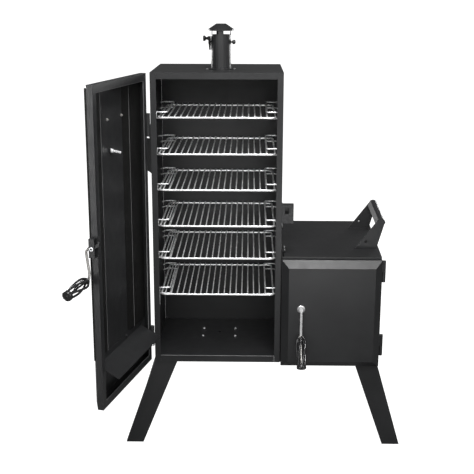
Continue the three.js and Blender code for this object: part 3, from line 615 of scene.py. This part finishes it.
# ---------------------------------------------------------------- studio
# name, place, what it is aimed at, width and height (metres), power (watts)
LIGHTS = [
    ("key", (0.45, -1.55, 1.95), (0.45, -0.1, 0.9), (1.6, 0.5), 28),
    ("overhead", (0.66, -0.95, 3.3), (0.66, -0.05, 0.73), (0.8, 0.35), 60),
    ("door_card", (0.72, -1.05, 0.52), (0.66, 0.0, 0.7), (0.5, 0.12), 1.9),
    ("front_card", (0.2, -1.55, 0.65), (0.2, 0.0, 0.85), (0.5, 0.9), 1.7),
    ("front_soft", (0.3, -4.6, 2.3), (0.35, 0.0, 0.8), (3.2, 1.8), 15),
    ("left_strip", (-1.9, -3.0, 0.8), (0.0, -0.3, 0.8), (0.5, 1.6), 36),
    ("back_left", (-2.2, 3.2, 1.15), (0.3, 0.2, 0.7), (1.4, 1.6), 110),
    ("back_right", (3.0, 3.2, 1.15), (0.5, 0.2, 0.7), (1.4, 1.6), 110),
    ("right_rim", (3.4, -1.8, 2.0), (0.5, 0.0, 0.6), (0.8, 2.2), 22),
]
WHITE, FLOOR_GLOW, SKY_GLOW = 1.1, 0.02, 0.12
FLOOR_MIDDLE, FLOOR_FLAT, FLOOR_BEND = Vector((0.35, 0.2, 0.0)), 4.6, 1.55


def area(name, place, target, size, power):
    """A soft rectangular light that isn't seen itself."""
    light = bpy.data.lights.new(name, "AREA")
    light.shape = "RECTANGLE"
    light.size, light.size_y = size
    light.energy = power
    obj = bpy.data.objects.new(name, light)
    obj.location = place
    obj.rotation_euler = (Vector(target) - Vector(place)).to_track_quat("-Z", "Y").to_euler()
    obj.visible_camera = False
    bpy.context.scene.collection.objects.link(obj)


def white_to_see(nodes, links, strength):
    """A glow that looks white itself, but lights the object only a little."""
    glow = nodes.new("ShaderNodeMath")
    glow.operation = "MULTIPLY_ADD"
    glow.inputs[1].default_value, glow.inputs[2].default_value = WHITE, strength
    links.new(nodes.new("ShaderNodeLightPath").outputs["Is Camera Ray"], glow.inputs[0])
    return glow.outputs[0]


def build_studio():
    """A round white floor whose edge curves up, a pale sky and the lights."""
    rings, bend_steps = 64, 12
    profile = [(0.0, 0.0), (FLOOR_FLAT, 0.0)]
    for k in range(1, bend_steps + 1):
        a = math.pi / 2 * k / bend_steps
        profile.append((FLOOR_FLAT + FLOOR_BEND * math.sin(a), FLOOR_BEND * (1 - math.cos(a))))
    verts, faces = [], []
    for radius, z in profile:
        for k in range(rings):
            a = 2 * math.pi * k / rings
            verts.append(FLOOR_MIDDLE + Vector((radius * math.cos(a), radius * math.sin(a), z)))
    for row in range(len(profile) - 1):
        for k in range(rings):
            n = (k + 1) % rings
            faces.append([row * rings + k, row * rings + n, (row + 1) * rings + n, (row + 1) * rings + k])
    floor = mesh_piece("studio_floor", verts, faces, 80)
    mat, nodes, links, bsdf = material("pale_floor")
    bsdf.inputs["Base Color"].default_value = (0.16, 0.16, 0.16, 1)
    bsdf.inputs["Roughness"].default_value = 0.9
    bsdf.inputs["Specular IOR Level"].default_value = 0.05
    bsdf.inputs["Emission Color"].default_value = (1, 1, 1, 1)
    links.new(white_to_see(nodes, links, FLOOR_GLOW), bsdf.inputs["Emission Strength"])
    floor.data.materials.append(mat)
    world = bpy.data.worlds.new("studio")
    bpy.context.scene.world = world
    world.use_nodes = True
    nodes, links = world.node_tree.nodes, world.node_tree.links
    nodes["Background"].inputs["Color"].default_value = (1, 1, 1, 1)
    links.new(white_to_see(nodes, links, SKY_GLOW), nodes["Background"].inputs["Strength"])
    for light in LIGHTS:
        area(*light)


CAMERA_PLACE, CAMERA_LENS, CAMERA_SHIFT = (329.3, -3098.0, 1574.5), 71.2, (0.0053, 0.0064)
CAMERA_HEADING, CAMERA_DOWN, CAMERA_ROLL = 0.92, 14.73, 0.12  # degrees


def build_camera():
    data = bpy.data.cameras.new("camera")
    data.sensor_width = 36.0
    data.lens = CAMERA_LENS
    data.shift_x, data.shift_y = CAMERA_SHIFT
    cam = bpy.data.objects.new("camera", data)
    turn = Matrix.Rotation(math.radians(CAMERA_HEADING), 4, "Z")
    turn = turn @ Matrix.Rotation(math.radians(90 - CAMERA_DOWN), 4, "X")
    turn = turn @ Matrix.Rotation(math.radians(CAMERA_ROLL), 4, "Z")
    cam.matrix_world = Matrix.Translation(at(*CAMERA_PLACE)) @ turn
    bpy.context.scene.collection.objects.link(cam)
    bpy.context.scene.camera = cam


bpy.context.scene.view_settings.view_transform = "Standard"
build_camera()
build_studio()
dress_cad()
for rack_number in range(1, RACK_COUNT + 1):
    build_rack(rack_number)
build_guide("left")
build_guide("right")
build_grip("door_grip_wires", "door_handle_grip", "door_handle",
           on_door(*DOOR_GRIP[0]), on_door(*DOOR_GRIP[1]), BLACK_WIRE)
build_grip("firebox_grip_wires", "firebox_handle_grip", "small_door_handle",
           at(*FIREBOX_GRIP[0]), at(*FIREBOX_GRIP[1]), NICKEL)
build_door_handle()
build_fasteners()
build_damper_cone()
build_gasket()
build_door_inside()
build_hems()
build_dial()

bpy.context.view_layer.update()
